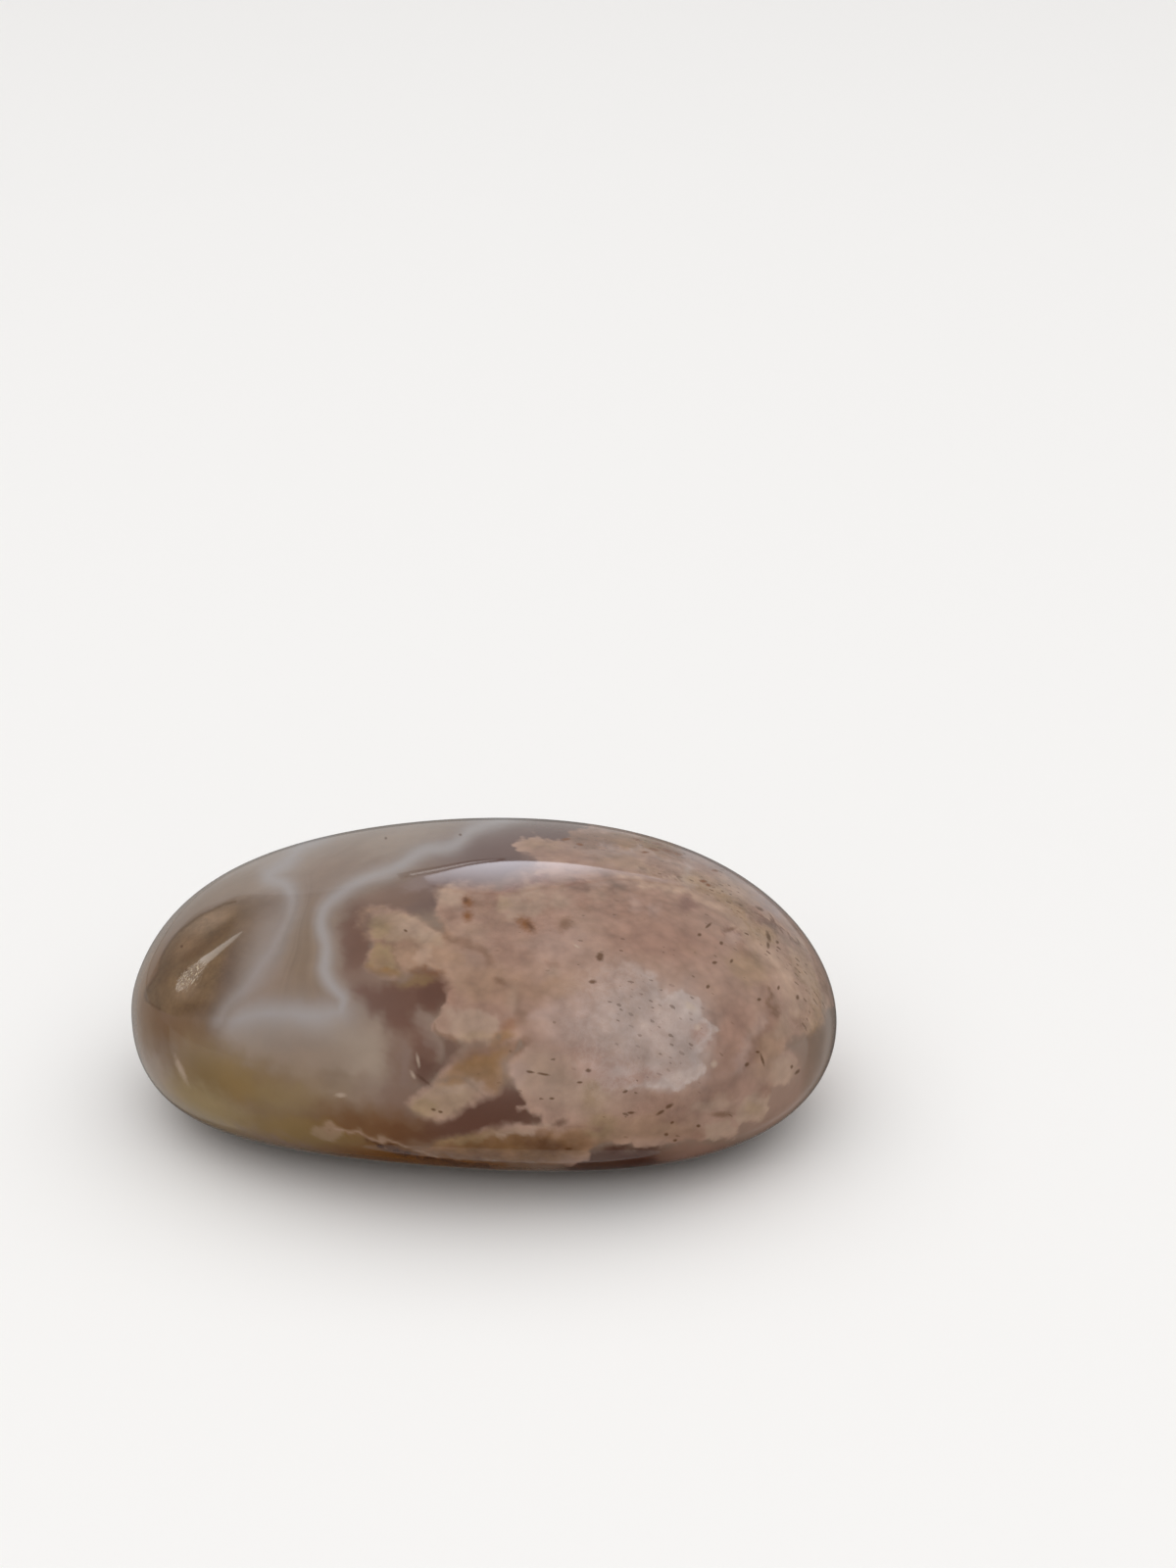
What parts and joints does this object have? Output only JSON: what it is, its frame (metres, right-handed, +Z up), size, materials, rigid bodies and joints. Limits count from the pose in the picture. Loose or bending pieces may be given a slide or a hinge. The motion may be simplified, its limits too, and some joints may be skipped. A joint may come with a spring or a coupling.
{
  "type": "flower agate palm stone",
  "caption": "Polished oval palm stone of flower agate: blush and tan flower plumes in grey chalcedony with pale bands, resting on a small flat.",
  "frame": {"origin": "under the middle of the stone's box, on the plane that it rests on", "axes": "+X along the stone's length, +Z up, -Y towards the side with the large flower"},
  "size_m": [0.062, 0.043, 0.023],
  "materials": {
    "polished_agate": "high polish, translucent, blush plumes in grey-brown chalcedony"
  },
  "bodies": {
    "root": {"agate_stone": "polished_agate"}
  },
  "joints": []
}
